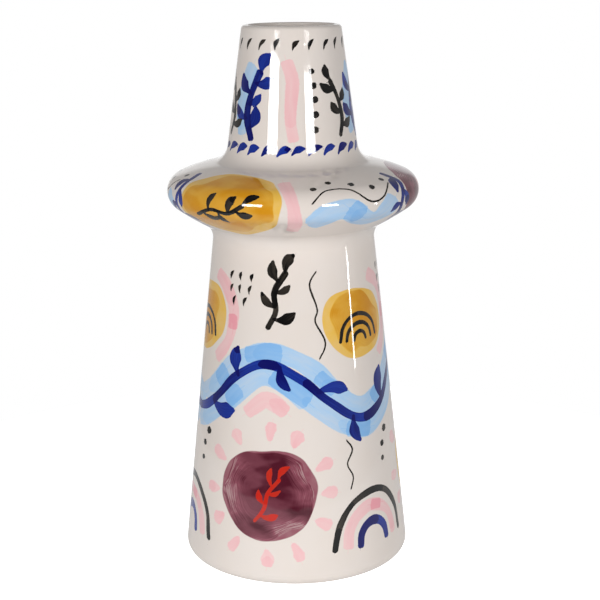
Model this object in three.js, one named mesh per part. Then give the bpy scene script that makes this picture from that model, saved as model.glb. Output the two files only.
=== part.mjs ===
// A ceramic vase: a long tapering body, a wide hollow collar with a rounded edge, and a tapering neck.
// Its pieces are the clay sections as the potter makes them, before they are luted into one vessel.
// Millimetres, +Z up. The origin is the centre of the foot, on the surface that the vase stands on.
import * as THREE from "three";

// Outer form, from the foot up. Corners are measured where the straight sides would meet.
const FOOT_RADIUS = 86.3;
const FOOT_ROUND = 7.7;
const BODY_HEIGHT = 252.8;
const THROAT_RADIUS = 59.4;
const THROAT_ROUND = 12.8;
const COLLAR_RISE = 27.8; // throat to the collar's widest level
const COLLAR_RADIUS = 93.1;
const COLLAR_ROUND = 13.8;
const COLLAR_UNDERSIDE_CURVE = 185;
const COLLAR_TOP_CURVE = 137;
const SHOULDER_RISE = 22.4; // the collar's widest level to the foot of the neck
const NECK_BASE_RADIUS = 49.3;
const NECK_ROUND = 13.6;
const NECK_HEIGHT = 97;
const MOUTH_RADIUS = 36.2;
const LIP_OUTER_ROUND = 3.3;
const LIP_INNER_ROUND = 1.5;

// Thickness of the clay
const WALL = 5;
const FLOOR_THICKNESS = 6;
const FLANGE_THICKNESS = 4; // also how far the floor is recessed above the standing face
const RECESS_RADIUS = 70;
const RECESS_ROUND = 1.5;

// Seams between the sections
const FOOT_SEAM_HEIGHT = 16;
const THROAT_SEAM_DROP = 17; // below the throat's corner
const NECK_SEAM_RISE = 19; // above the foot of the neck
const RIM_DEPTH = 9;
const LAND = 2.5; // width of the outer faces that meet at a seam
const TONGUE_HEIGHT = 4;
const REBATE_HEIGHT = 5; // above and below a seam that a coil keys
const COIL_BULGE = 1.2;
const BASE_COIL_FOOT = 9;
const BASE_COIL_RISE = 14;
const BASE_COIL_EDGE = 1.3;
const CLEARANCE = 0.3;

// Points closer than this are one point
const SAME_POINT = 1e-6;

// Fineness of the facets
const SIDES = 48;
const ARC_STEP = THREE.MathUtils.degToRad(19);
const FEWEST_ARC_STEPS = 3;
const COIL_STEPS = 5;

// Heights that follow
const COLLAR_HEIGHT = BODY_HEIGHT + COLLAR_RISE;
const NECK_BASE_HEIGHT = COLLAR_HEIGHT + SHOULDER_RISE;
const HEIGHT = NECK_BASE_HEIGHT + NECK_HEIGHT;
const THROAT_SEAM_HEIGHT = BODY_HEIGHT - THROAT_SEAM_DROP;
const NECK_SEAM_HEIGHT = NECK_BASE_HEIGHT + NECK_SEAM_RISE;
const RIM_SEAM_HEIGHT = HEIGHT - RIM_DEPTH;
const FLOOR_TOP = FLANGE_THICKNESS + FLOOR_THICKNESS;

// The wall's section is drawn in a plane where x is the radius and y is the height.
const at = (radius, height) => new THREE.Vector2(radius, height);
const towards = (from, to) => to.clone().sub(from).angle();
const onCircle = (centre, radius, angle) =>
  at(centre.x + radius * Math.cos(angle), centre.y + radius * Math.sin(angle));

// The unit vector that points out of the clay from a side drawn upwards from one corner to the next.
function outward(lower, upper) {
  const along = upper.clone().sub(lower).normalize();
  return at(along.y, -along.x);
}

// The point at given distances from two centres, on the left (1) or right (-1) of the line between them.
function crossing(first, firstRadius, second, secondRadius, side) {
  const apart = first.distanceTo(second);
  const along = (firstRadius ** 2 - secondRadius ** 2 + apart ** 2) / (2 * apart);
  const across = side * Math.sqrt(firstRadius ** 2 - along ** 2);
  const direction = second.clone().sub(first).divideScalar(apart);
  const left = at(-direction.y, direction.x);
  return first.clone().addScaledVector(direction, along).addScaledVector(left, across);
}

// The centre of a hollow round that touches a straight side and a convex curve from outside.
function hollowRound(corner, sideOutward, round, curveCentre, curveRadius, alongSide) {
  const base = corner.clone().addScaledVector(sideOutward, round);
  const direction = at(-sideOutward.y, sideOutward.x).multiplyScalar(alongSide);
  const fromCurve = base.clone().sub(curveCentre);
  const half = fromCurve.dot(direction);
  const rest = fromCurve.lengthSq() - (curveRadius + round) ** 2;
  return base.addScaledVector(direction, -half + Math.sqrt(half ** 2 - rest));
}

const foot = at(FOOT_RADIUS, 0);
const throat = at(THROAT_RADIUS, BODY_HEIGHT);
const neckBase = at(NECK_BASE_RADIUS, NECK_BASE_HEIGHT);
const mouth = at(MOUTH_RADIUS, HEIGHT);
const edge = at(COLLAR_RADIUS - COLLAR_ROUND, COLLAR_HEIGHT);
const bodyOutward = outward(foot, throat);
const neckOutward = outward(neckBase, mouth);

// Both dishes of the collar are shallow curves that run smoothly into its rounded edge.
const underside = crossing(
  edge,
  COLLAR_UNDERSIDE_CURVE - COLLAR_ROUND,
  throat,
  COLLAR_UNDERSIDE_CURVE,
  -1,
);
const top = crossing(edge, COLLAR_TOP_CURVE - COLLAR_ROUND, neckBase, COLLAR_TOP_CURVE, 1);
const throatRound = hollowRound(throat, bodyOutward, THROAT_ROUND, underside, COLLAR_UNDERSIDE_CURVE, -1);
const neckRound = hollowRound(neckBase, neckOutward, NECK_ROUND, top, COLLAR_TOP_CURVE, 1);

// The curves of the wall from the body to the neck. A bulge of 1 is convex and -1 is hollow.
// The collar's edge is two curves, so that its widest level has points of its own.
const curves = [
  {
    centre: throatRound,
    radius: THROAT_ROUND,
    bulge: -1,
    from: bodyOutward.clone().negate().angle(),
    to: towards(throatRound, underside),
  },
  {
    centre: underside,
    radius: COLLAR_UNDERSIDE_CURVE,
    bulge: 1,
    from: towards(underside, throatRound),
    to: towards(underside, edge),
  },
  {
    centre: edge,
    radius: COLLAR_ROUND,
    bulge: 1,
    from: towards(underside, edge),
    to: 0,
  },
  {
    centre: edge,
    radius: COLLAR_ROUND,
    bulge: 1,
    from: 0,
    to: towards(top, edge),
  },
  {
    centre: top,
    radius: COLLAR_TOP_CURVE,
    bulge: 1,
    from: towards(top, edge),
    to: towards(top, neckRound),
  },
  {
    centre: neckRound,
    radius: NECK_ROUND,
    bulge: -1,
    from: towards(neckRound, top),
    to: neckOutward.clone().negate().angle(),
  },
];

// The turn from one angle to another, the short way round.
function turn(from, to) {
  return THREE.MathUtils.euclideanModulo(to - from + Math.PI, 2 * Math.PI) - Math.PI;
}

function arcPoints(centre, radius, from, to) {
  const sweep = turn(from, to);
  const steps = Math.max(FEWEST_ARC_STEPS, Math.ceil(Math.abs(sweep) / ARC_STEP));
  const points = [];
  for (let i = 0; i <= steps; i++) {
    points.push(onCircle(centre, radius, from + (sweep * i) / steps));
  }
  return points;
}

// The corner of a straight side moved into the clay by a depth, and slid along the side to its old height.
function sunkCorner(corner, sideOutward, depth) {
  return at(corner.x - depth / sideOutward.x, corner.y);
}

// The wall's surface at a depth inside its outer face, from the foot's level to the mouth's.
function surface(depth) {
  const points = [sunkCorner(foot, bodyOutward, depth)];
  for (const curve of curves) {
    const arc = arcPoints(curve.centre, curve.radius - curve.bulge * depth, curve.from, curve.to);
    for (const point of arc) {
      if (point.distanceTo(points.at(-1)) > SAME_POINT) {
        points.push(point);
      }
    }
  }
  points.push(sunkCorner(mouth, neckOutward, depth));
  return points;
}
const outer = surface(0);
const inner = surface(WALL);

function radiusAt(outline, height) {
  const next = outline.findIndex((point, i) => i > 0 && point.y >= height);
  const low = outline[next - 1];
  const high = outline[next];
  return THREE.MathUtils.mapLinear(height, low.y, high.y, low.x, high.x);
}

// The points of a surface between two heights, drawn upwards, and the same drawn downwards.
function rising(outline, low, high) {
  const between = outline.filter((point) => point.y > low && point.y < high);
  return [at(radiusAt(outline, low), low), ...between, at(radiusAt(outline, high), high)];
}
const falling = (outline, high, low) => rising(outline, low, high).reverse();

// A convex round on the corner between the sides that come from one point and go to another.
function rounded(before, corner, after, round) {
  const back = before.clone().sub(corner).normalize();
  const onward = after.clone().sub(corner).normalize();
  const half = Math.acos(back.dot(onward)) / 2;
  const bisector = back.clone().add(onward).normalize();
  const centre = corner.clone().addScaledVector(bisector, round / Math.sin(half));
  const reach = round / Math.tan(half);
  const start = corner.clone().addScaledVector(back, reach);
  const end = corner.clone().addScaledVector(onward, reach);
  return arcPoints(centre, round, towards(centre, start), towards(centre, end));
}

// A seam's outer land ends at this radius. Inside it lies the rebate.
const landRadius = (seam) => radiusAt(outer, seam) - LAND;

// Rebates on each side of a seam that a coil keys. The lower one's floor carries the coil.
const rebateBelow = (seam) => [at(landRadius(seam), seam), at(landRadius(seam), seam - REBATE_HEIGHT)];
const rebateAbove = (seam) => [at(landRadius(seam), seam + REBATE_HEIGHT), at(landRadius(seam), seam)];

// A tongue that stands up inside a seam, and the rebate that drops over it.
const tongueTop = (seam) => seam + TONGUE_HEIGHT;
const tongueRebateTop = (seam) => tongueTop(seam) + CLEARANCE;
const tongue = (seam) => [
  at(landRadius(seam) - CLEARANCE, seam),
  at(landRadius(seam) - CLEARANCE, tongueTop(seam)),
];
const tongueRebate = (seam) => [at(landRadius(seam), tongueRebateTop(seam)), at(landRadius(seam), seam)];

// A curve between two points that stands proud of the straight line between them, towards the axis.
function proud(from, to, bulge) {
  const middle = from.clone().lerp(to, 0.5);
  middle.x -= 2 * bulge;
  return new THREE.QuadraticBezierCurve(from, middle, to).getPoints(COIL_STEPS);
}

// A coil rests on the lower rebate and reaches up into the upper one.
function keyCoil(seam) {
  const low = seam - REBATE_HEIGHT;
  const high = seam + REBATE_HEIGHT - CLEARANCE;
  const back = landRadius(seam) - CLEARANCE;
  const face = proud(at(radiusAt(inner, high), high), at(radiusAt(inner, low), low), COIL_BULGE);
  return [at(back, low), at(back, high), ...face];
}

function footRing() {
  const flangeEdge = at(RECESS_RADIUS, FLANGE_THICKNESS);
  const standingEdge = at(RECESS_RADIUS, 0);
  const wallTop = at(radiusAt(outer, FOOT_SEAM_HEIGHT), FOOT_SEAM_HEIGHT);
  return [
    flangeEdge,
    ...rounded(flangeEdge, standingEdge, foot, RECESS_ROUND),
    ...rounded(standingEdge, foot, wallTop, FOOT_ROUND),
    wallTop,
    ...tongue(FOOT_SEAM_HEIGHT),
    ...falling(inner, tongueTop(FOOT_SEAM_HEIGHT), FLANGE_THICKNESS),
  ];
}

// The floor drops in past the foot ring's tongue and rests on its flange.
function baseFloor() {
  const radius = radiusAt(inner, tongueTop(FOOT_SEAM_HEIGHT)) - CLEARANCE;
  return [
    at(0, FLANGE_THICKNESS),
    at(radius, FLANGE_THICKNESS),
    at(radius, FLOOR_TOP),
    at(0, FLOOR_TOP),
  ];
}

// A cove that fills the corner between the floor and the wall, across the foot's seam.
function baseCoil() {
  const high = FLOOR_TOP + BASE_COIL_RISE;
  const backLow = at(radiusAt(inner, FLOOR_TOP) - CLEARANCE, FLOOR_TOP);
  const backHigh = at(radiusAt(inner, high) - CLEARANCE, high);
  const toe = at(backLow.x - BASE_COIL_FOOT, FLOOR_TOP + BASE_COIL_EDGE);
  const crown = at(backHigh.x - BASE_COIL_EDGE, high);
  const corner = at(crown.x, toe.y);
  const cove = new THREE.QuadraticBezierCurve(crown, corner, toe).getPoints(COIL_STEPS);
  return [backLow, backHigh, ...cove, at(toe.x, FLOOR_TOP)];
}

// A section of the wall between two seams: its outer face, its top, its inner face and its bottom.
function wallSection(low, high, topEdge, innerHigh, innerLow, bottomEdge) {
  return [...rising(outer, low, high), ...topEdge, ...falling(inner, innerHigh, innerLow), ...bottomEdge];
}

const lowerBody = () =>
  wallSection(
    FOOT_SEAM_HEIGHT,
    THROAT_SEAM_HEIGHT,
    rebateBelow(THROAT_SEAM_HEIGHT),
    THROAT_SEAM_HEIGHT - REBATE_HEIGHT,
    tongueRebateTop(FOOT_SEAM_HEIGHT),
    tongueRebate(FOOT_SEAM_HEIGHT),
  );

// The two dishes of the collar meet rim to rim at its widest level.
const dish = (low, high) =>
  wallSection(low, high, rebateBelow(high), high - REBATE_HEIGHT, low + REBATE_HEIGHT, rebateAbove(low));

const neck = () =>
  wallSection(
    NECK_SEAM_HEIGHT,
    RIM_SEAM_HEIGHT,
    tongue(RIM_SEAM_HEIGHT),
    tongueTop(RIM_SEAM_HEIGHT),
    NECK_SEAM_HEIGHT + REBATE_HEIGHT,
    rebateAbove(NECK_SEAM_HEIGHT),
  );

function mouthRim() {
  const low = tongueRebateTop(RIM_SEAM_HEIGHT);
  const outerLow = at(radiusAt(outer, RIM_SEAM_HEIGHT), RIM_SEAM_HEIGHT);
  const innerLow = at(radiusAt(inner, low), low);
  const innerMouth = inner.at(-1);
  return [
    outerLow,
    ...rounded(outerLow, mouth, innerMouth, LIP_OUTER_ROUND),
    ...rounded(mouth, innerMouth, innerLow, LIP_INNER_ROUND),
    innerLow,
    ...tongueRebate(RIM_SEAM_HEIGHT),
  ];
}

// Turns a section round the vase's axis. A section that isn't on the axis closes on itself.
function turned(section) {
  const onAxis = section[0].x === 0;
  const profile = onAxis ? section : [...section, section[0].clone()];
  const geometry = new THREE.LatheGeometry(profile, SIDES);
  return geometry.rotateX(Math.PI / 2);
}

const paintedGlaze = () => new THREE.MeshStandardMaterial({ color: 0xe9dfda, roughness: 0.12, metalness: 0 });
const liningGlaze = () => new THREE.MeshStandardMaterial({ color: 0xddd4ce, roughness: 0.2, metalness: 0 });
const bareClay = () => new THREE.MeshStandardMaterial({ color: 0xe0d5c6, roughness: 0.85, metalness: 0 });

const vase = new THREE.Group();

function add(name, section, material) {
  const mesh = new THREE.Mesh(turned(section), material);
  mesh.name = name;
  vase.add(mesh);
}

add("foot_ring", footRing(), paintedGlaze());
add("base_floor", baseFloor(), bareClay());
add("base_coil", baseCoil(), liningGlaze());
add("lower_body", lowerBody(), paintedGlaze());
add("throat_coil", keyCoil(THROAT_SEAM_HEIGHT), liningGlaze());
add("collar_underside", dish(THROAT_SEAM_HEIGHT, COLLAR_HEIGHT), paintedGlaze());
add("collar_coil", keyCoil(COLLAR_HEIGHT), liningGlaze());
add("collar_top", dish(COLLAR_HEIGHT, NECK_SEAM_HEIGHT), paintedGlaze());
add("neck_coil", keyCoil(NECK_SEAM_HEIGHT), liningGlaze());
add("neck", neck(), paintedGlaze());
add("mouth_rim", mouthRim(), paintedGlaze());

export default vase;
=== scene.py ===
# A glossy ceramic vase with brush painted decoration, standing on a white studio table.
# Metres, +Z up. The vase's front faces -Y, and angles round it run from there towards +X.
from collections import namedtuple
from functools import partialmethod
from math import acos, atan2, ceil, cos, degrees, pi, radians, sin, sqrt, tan

import bpy
import numpy as np
from mathutils import Matrix, Vector


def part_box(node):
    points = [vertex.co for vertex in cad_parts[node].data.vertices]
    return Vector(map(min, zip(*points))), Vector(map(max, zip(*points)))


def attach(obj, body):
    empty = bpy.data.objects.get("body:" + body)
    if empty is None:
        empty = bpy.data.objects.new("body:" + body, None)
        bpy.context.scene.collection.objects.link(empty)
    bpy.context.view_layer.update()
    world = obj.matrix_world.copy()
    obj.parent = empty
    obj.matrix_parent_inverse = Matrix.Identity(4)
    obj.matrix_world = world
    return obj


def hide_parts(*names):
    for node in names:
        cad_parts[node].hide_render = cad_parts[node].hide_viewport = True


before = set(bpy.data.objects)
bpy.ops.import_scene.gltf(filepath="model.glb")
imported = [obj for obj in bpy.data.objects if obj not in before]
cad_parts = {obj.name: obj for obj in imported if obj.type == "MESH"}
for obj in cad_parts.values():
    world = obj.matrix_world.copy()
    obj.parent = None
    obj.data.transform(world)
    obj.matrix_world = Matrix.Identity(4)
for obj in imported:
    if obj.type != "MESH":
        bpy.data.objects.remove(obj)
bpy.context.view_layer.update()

MM = 0.001

# Outer form, the same as the solids'. Corners are measured where the straight sides would meet.
FOOT_RADIUS = 86.3 * MM
FOOT_ROUND = 7.7 * MM
BODY_HEIGHT = 252.8 * MM
THROAT_RADIUS = 59.4 * MM
THROAT_ROUND = 12.8 * MM
COLLAR_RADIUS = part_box("collar_top")[1].x
COLLAR_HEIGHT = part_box("collar_top")[0].z
COLLAR_ROUND = 13.8 * MM
COLLAR_UNDERSIDE_CURVE = 185 * MM
COLLAR_TOP_CURVE = 137 * MM
SHOULDER_RISE = 22.4 * MM
NECK_BASE_RADIUS = 49.3 * MM
NECK_ROUND = 13.6 * MM
MOUTH_RADIUS = 36.2 * MM
LIP_OUTER_ROUND = 3.3 * MM
LIP_INNER_ROUND = 1.5 * MM
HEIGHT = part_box("mouth_rim")[1].z

# Thickness of the clay
WALL = 5 * MM
FLANGE_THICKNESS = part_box("base_floor")[0].z
FLOOR_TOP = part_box("base_floor")[1].z
FLOOR_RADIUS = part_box("base_floor")[1].x
RECESS_RADIUS = 70 * MM
RECESS_ROUND = 1.5 * MM

# Seams between the sections
FOOT_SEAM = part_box("lower_body")[0].z
THROAT_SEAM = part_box("lower_body")[1].z
NECK_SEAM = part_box("collar_top")[1].z
RIM_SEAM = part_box("mouth_rim")[0].z
LAND = 2.5 * MM
CLEARANCE = 0.3 * MM
TONGUE_HEIGHT = 4 * MM
TONGUE_REBATE = TONGUE_HEIGHT + CLEARANCE
COIL_REBATE = 5 * MM
COIL_BULGE = 1.2 * MM
BASE_COIL_FOOT = 9 * MM
BASE_COIL_EDGE = 1.3 * MM

# Fineness of the meshes
COLUMNS = 384
PAINTED_STEP = 1.2 * MM
HIDDEN_STEP = 6 * MM
ROUND_STEP = 0.5 * MM
FEWEST_STEPS = 4
COIL_STEPS = 8
SAME_POINT = 1e-7

# Share of a piece's colour map that its painted face takes
PAINTED_SHARE = 0.8
MAP_MARGIN = 0.004

# A face of the section has a row for each point: radius, height, and both parts of the normal.


def at(radius, height):
    return np.array([radius, height])


def unit(vectors):
    return vectors / np.linalg.norm(vectors, axis=-1, keepdims=True)


def outward(start, end):
    """The unit vector to the right of the way."""
    along = unit(end - start)
    return at(along[1], -along[0])


def heading(start, end):
    return atan2(end[1] - start[1], end[0] - start[0])


def ways(points):
    """How far along a line each of its points lies."""
    return np.concatenate([[0], np.cumsum(np.linalg.norm(np.diff(points, axis=0), axis=1))])


def interpolated(values, marks, rows):
    """The rows for some values, where the given rows belong to the marks."""
    return np.stack([np.interp(values, marks, column) for column in rows.T], axis=-1)


def crossing(first, first_radius, second, second_radius, side):
    """The point at given distances from two centres, left (1) or right (-1) of the line between them."""
    apart = np.linalg.norm(second - first)
    along = (first_radius**2 - second_radius**2 + apart**2) / (2 * apart)
    across = side * sqrt(first_radius**2 - along**2)
    direction = (second - first) / apart
    return first + along * direction + across * at(-direction[1], direction[0])


def hollow_round(corner, side_outward, round_radius, curve_centre, curve_radius, along_side):
    """The centre of a hollow round that touches a straight side and a convex curve from outside."""
    base = corner + round_radius * side_outward
    direction = along_side * at(-side_outward[1], side_outward[0])
    from_curve = base - curve_centre
    half = from_curve @ direction
    rest = from_curve @ from_curve - (curve_radius + round_radius) ** 2
    return base + direction * (sqrt(half**2 - rest) - half)


def arc(centre, radius, start, end, bulge, step):
    """An arc the short way round. Its normals point away from the centre for a bulge of 1."""
    sweep = (end - start + pi) % (2 * pi) - pi
    count = max(FEWEST_STEPS, ceil(abs(sweep) * radius / step))
    angles = start + sweep * np.linspace(0, 1, count + 1)
    directions = np.stack([np.cos(angles), np.sin(angles)], axis=1)
    return np.hstack([centre + radius * directions, bulge * directions])


def straight(start, end, step):
    count = max(1, ceil(np.linalg.norm(end - start) / step))
    points = start + (end - start) * np.linspace(0, 1, count + 1)[:, None]
    return np.hstack([points, np.tile(outward(start, end), (count + 1, 1))])


def joined(*stretches):
    """One face from stretches that run smoothly into each other."""
    return np.concatenate([stretches[0][:1], *[stretch[1:] for stretch in stretches]])


foot = at(FOOT_RADIUS, 0)
throat = at(THROAT_RADIUS, BODY_HEIGHT)
neck_base = at(NECK_BASE_RADIUS, COLLAR_HEIGHT + SHOULDER_RISE)
mouth = at(MOUTH_RADIUS, HEIGHT)
edge = at(COLLAR_RADIUS - COLLAR_ROUND, COLLAR_HEIGHT)
body_outward = outward(foot, throat)
neck_outward = outward(neck_base, mouth)

# Both dishes of the collar are shallow curves that run smoothly into its rounded edge.
underside = crossing(edge, COLLAR_UNDERSIDE_CURVE - COLLAR_ROUND, throat, COLLAR_UNDERSIDE_CURVE, -1)
top = crossing(edge, COLLAR_TOP_CURVE - COLLAR_ROUND, neck_base, COLLAR_TOP_CURVE, 1)
throat_round = hollow_round(throat, body_outward, THROAT_ROUND, underside, COLLAR_UNDERSIDE_CURVE, -1)
neck_round = hollow_round(neck_base, neck_outward, NECK_ROUND, top, COLLAR_TOP_CURVE, 1)

# The wall's curves from body to neck: centre, radius, bulge, and the angles that they run between
wall_curves = [
    (throat_round, THROAT_ROUND, -1, heading(body_outward, at(0, 0)), heading(throat_round, underside)),
    (underside, COLLAR_UNDERSIDE_CURVE, 1, heading(underside, throat_round), heading(underside, edge)),
    (edge, COLLAR_ROUND, 1, heading(underside, edge), 0),
    (edge, COLLAR_ROUND, 1, 0, heading(top, edge)),
    (top, COLLAR_TOP_CURVE, 1, heading(top, edge), heading(top, neck_round)),
    (neck_round, NECK_ROUND, -1, heading(neck_round, top), heading(neck_outward, at(0, 0))),
]


def sunk(corner, side_outward):
    """Where a straight side's inner face passes the height of its corner."""
    return at(corner[0] - WALL / side_outward[0], corner[1])


def rounding(before, corner, after, radius, step):
    """A convex round on a corner between two straight sides."""
    back = unit(before - corner)
    onward = unit(after - corner)
    half = acos(back @ onward) / 2
    centre = corner + unit(back + onward) * radius / sin(half)
    reach = radius / tan(half)
    start = heading(centre, corner + back * reach)
    return arc(centre, radius, start, heading(centre, corner + onward * reach), 1, step)


def wall_stretches(depth, start, end, step):
    """The wall's surface at a depth inside its outer face, from start up to end."""
    curves = []
    for centre, radius, bulge, first, last in wall_curves:
        curves.append(arc(centre, radius - bulge * depth, first, last, bulge, step))
    low_side = straight(start, curves[0][0, :2], step)
    return [low_side, *curves, straight(curves[-1][-1, :2], end, step)]


# The glazed outside, from the standing face round the foot and up to the top of the lip
foot_arc = rounding(at(RECESS_RADIUS, 0), foot, throat, FOOT_ROUND, PAINTED_STEP)
lip_arc = rounding(neck_base, mouth, sunk(mouth, neck_outward), LIP_OUTER_ROUND, PAINTED_STEP / 2)
outer = joined(foot_arc, *wall_stretches(0, foot_arc[-1, :2], lip_arc[0, :2], PAINTED_STEP), lip_arc)

# The inside, from the foot's level to the top of the lip. Its normals point at the axis.
inner_neck = sunk(neck_base, neck_outward)
lip_arc = rounding(mouth, sunk(mouth, neck_outward), inner_neck, LIP_INNER_ROUND, ROUND_STEP)[::-1]
inner_wall = wall_stretches(WALL, sunk(foot, body_outward), lip_arc[0, :2], HIDDEN_STEP)
inner = joined(*[stretch * (1, 1, -1, -1) for stretch in inner_wall], lip_arc)


def point_on(face, height):
    return at(np.interp(height, face[:, 1], face[:, 0]), height)


def between(face, low, high):
    """The part of a rising face from one height to another."""
    heights = face[:, 1]
    ends = interpolated([low, high], heights, face)
    ends[:, 1] = low, high
    ends[:, 2:] = unit(ends[:, 2:])
    inside = (heights > low + SAME_POINT) & (heights < high - SAME_POINT)
    return np.concatenate([ends[:1], face[inside], ends[1:]])


def flats(*corners):
    """Flat faces from corner to corner."""
    return [straight(start, end, HIDDEN_STEP) for start, end in zip(corners, corners[1:])]


def land_radius(seam):
    return point_on(outer, seam)[0] - LAND


def joint(seam, step, gap=0.0):
    """The corners of a seam's face: the land, and a step up or down inside it."""
    land = land_radius(seam) - gap
    return [point_on(outer, seam), at(land, seam), at(land, seam + step), point_on(inner, seam + step)]


def wall_section(low, high, low_step=COIL_REBATE, high_step=-COIL_REBATE, high_gap=0.0):
    """A section of the wall: outside, joint on top, inside and joint below."""
    inside = between(inner, low + low_step, high + high_step)[::-1]
    top_faces = flats(*joint(high, high_step, high_gap))
    return [between(outer, low, high), *top_faces, inside, *flats(*joint(low, low_step)[::-1])]


def bezier(start, middle, end):
    share = np.linspace(0, 1, COIL_STEPS + 1)[:, None]
    points = (1 - share) ** 2 * start + 2 * share * (1 - share) * middle + share**2 * end
    tangents = (1 - share) * (middle - start) + share * (end - middle)
    return np.hstack([points, unit(np.stack([tangents[:, 1], -tangents[:, 0]], axis=1))])


def foot_ring():
    recess_top = at(RECESS_RADIUS, FLANGE_THICKNESS)
    recess_round = rounding(recess_top, at(RECESS_RADIUS, 0), foot, RECESS_ROUND, ROUND_STEP)
    return [
        between(outer, 0, FOOT_SEAM),
        *flats(*joint(FOOT_SEAM, TONGUE_HEIGHT, CLEARANCE)),
        between(inner, FLANGE_THICKNESS, FOOT_SEAM + TONGUE_HEIGHT)[::-1],
        *flats(point_on(inner, FLANGE_THICKNESS), recess_top, recess_round[0, :2]),
        recess_round,
        *flats(recess_round[-1, :2], outer[0, :2]),
    ]


def base_floor():
    bottom_edge = at(FLOOR_RADIUS, FLANGE_THICKNESS)
    return flats(at(0, FLANGE_THICKNESS), bottom_edge, at(FLOOR_RADIUS, FLOOR_TOP), at(0, FLOOR_TOP))


def base_coil():
    """A cove that fills the corner of floor and wall."""
    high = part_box("base_coil")[1].z
    back_low = point_on(inner, FLOOR_TOP) - at(CLEARANCE, 0)
    back_high = point_on(inner, high) - at(CLEARANCE, 0)
    toe = at(back_low[0] - BASE_COIL_FOOT, FLOOR_TOP + BASE_COIL_EDGE)
    crown = at(back_high[0] - BASE_COIL_EDGE, high)
    return [
        *flats(back_low, back_high, crown),
        bezier(crown, at(crown[0], toe[1]), toe),
        *flats(toe, at(toe[0], FLOOR_TOP), back_low),
    ]


def key_coil(seam):
    """A coil that fills a seam's two rebates and stands a little proud inside."""
    low = point_on(inner, seam - COIL_REBATE)
    high = point_on(inner, seam + COIL_REBATE - CLEARANCE)
    back = land_radius(seam) - CLEARANCE
    bow = (low + high) / 2 - at(2 * COIL_BULGE, 0)
    return [*flats(low, at(back, low[1]), at(back, high[1]), high), bezier(high, bow, low)]


def mouth_rim():
    inside = between(inner, RIM_SEAM + TONGUE_REBATE, HEIGHT)[::-1]
    crown = flats(outer[-1, :2], inside[0, :2])
    return [between(outer, RIM_SEAM, HEIGHT), *crown, inside, *flats(*joint(RIM_SEAM, TONGUE_REBATE)[::-1])]


# Turning a section round the axis
column_angles = 2 * pi * np.arange(COLUMNS) / COLUMNS
corner_places = (np.arange(COLUMNS)[:, None] + [0, 1, 1, 0]) / COLUMNS


def round_the_axis(radii, heights, angles=column_angles):
    """Points (x, y, z) or normals, at some angles."""
    x = radii * np.sin(angles)
    return np.stack([x, -radii * np.cos(angles), np.broadcast_to(heights, x.shape)], axis=-1)


def at_corners(rows):
    """Values at the four corners of each quad between rows."""
    low, high = rows[:-1], rows[1:]
    return np.stack([low, np.roll(low, -1, axis=1), np.roll(high, -1, axis=1), high], axis=2)


def map_heights(faces, painted):
    """Where faces start and end on the colour map, most of which a painted first face takes."""
    lengths = np.array([ways(face[:, :2])[-1] for face in faces])
    shares = lengths / lengths.sum()
    if painted:
        shares = (1 - PAINTED_SHARE) * (lengths / lengths[1:].sum())
        shares[0] = PAINTED_SHARE
    return np.concatenate([[0], np.cumsum(shares)])


def added(name, data):
    made = bpy.data.objects.new(name, data)
    bpy.context.scene.collection.objects.link(made)
    return made


def turned(name, faces, painted):
    """A section turned round the axis, with exact normals and an unrolled colour map."""
    rows = np.concatenate([face[:-1] for face in faces])
    if rows[0, 0] < SAME_POINT:
        rows = np.concatenate([rows, faces[-1][-1:]])
    # A row on the axis is a single point, where triangles meet.
    widths = np.where(rows[:, 0] < SAME_POINT, 1, COLUMNS)
    numbers = (np.cumsum(widths) - widths)[:, None] + np.arange(COLUMNS) % widths[:, None]
    points = round_the_axis(*rows.T[:2, :, None])[np.arange(COLUMNS) < widths[:, None]]
    heights = map_heights(faces, painted)
    first = 0
    polygons, normals, places = [], [], []
    for face, map_low, map_high in zip(faces, heights + MAP_MARGIN, heights[1:] - MAP_MARGIN):
        own_rows = (first + np.arange(len(face))) % len(rows)
        first += len(face) - 1
        corners = at_corners(numbers[own_rows])
        kept = np.ones(corners.shape, bool)
        single = widths[own_rows] == 1
        kept[single[:-1], :, 1] = False
        kept[single[1:], :, 3] = False
        polygons += [quad[some].tolist() for quad, some in zip(corners.reshape(-1, 4), kept.reshape(-1, 4))]
        normals.append(at_corners(round_the_axis(*face.T[2:, :, None]))[kept])
        v = ways(face[:, :2])
        v = np.tile((map_low + v / v[-1] * (map_high - map_low))[:, None], COLUMNS)
        u = np.broadcast_to(corner_places, kept.shape)
        places.append(np.stack([u, at_corners(v)], axis=3)[kept])
    mesh = bpy.data.meshes.new(name)
    mesh.from_pydata(points.tolist(), [], polygons)
    mesh.shade_smooth()
    colour_map = mesh.uv_layers.new(name="OFBake")
    colour_map.data.foreach_set("uv", np.concatenate(places).ravel())
    mesh.normals_split_custom_set(np.concatenate(normals).tolist())
    return added(name, mesh)


# Paint is laid out in mm on the unrolled wall. A level is the way up the outside from the foot.
outer_levels = ways(outer[:, :2]) / MM
Spot = namedtuple("Spot", "angle level")
Stroke = namedtuple("Stroke", "points sides tangents halves along seed")

STROKE_COLOURS = ["blue", "pink", "navy", "black", "coral"]
strokes = {colour + side: [] for colour in STROKE_COLOURS for side in ("_a", "_b")}
patches = {"mustard": [], "plum": []}

FAR = 60  # where no paint is near
REACH = 4  # round a stroke, within which its coordinates are kept
ROUTE_STEP = 1.5
FEWEST_ROUTE_STEPS = 2
THINNEST = 0.05  # half a line's width
BATCH = 3000
SEED_STEP = 0.618
SEED_TURN = 20
WAVER = 0.55  # by which a hand strays
WAVER_LENGTHS = (13.0, 5.3)
SWELL = 0.06


def level_at(height):
    return float(np.interp(height, outer[:, 1], outer_levels))


def radius_on(level):
    """Radius of the outside at a level, both in mm."""
    return np.interp(level, outer_levels, outer[:, 0]) / MM


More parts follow.
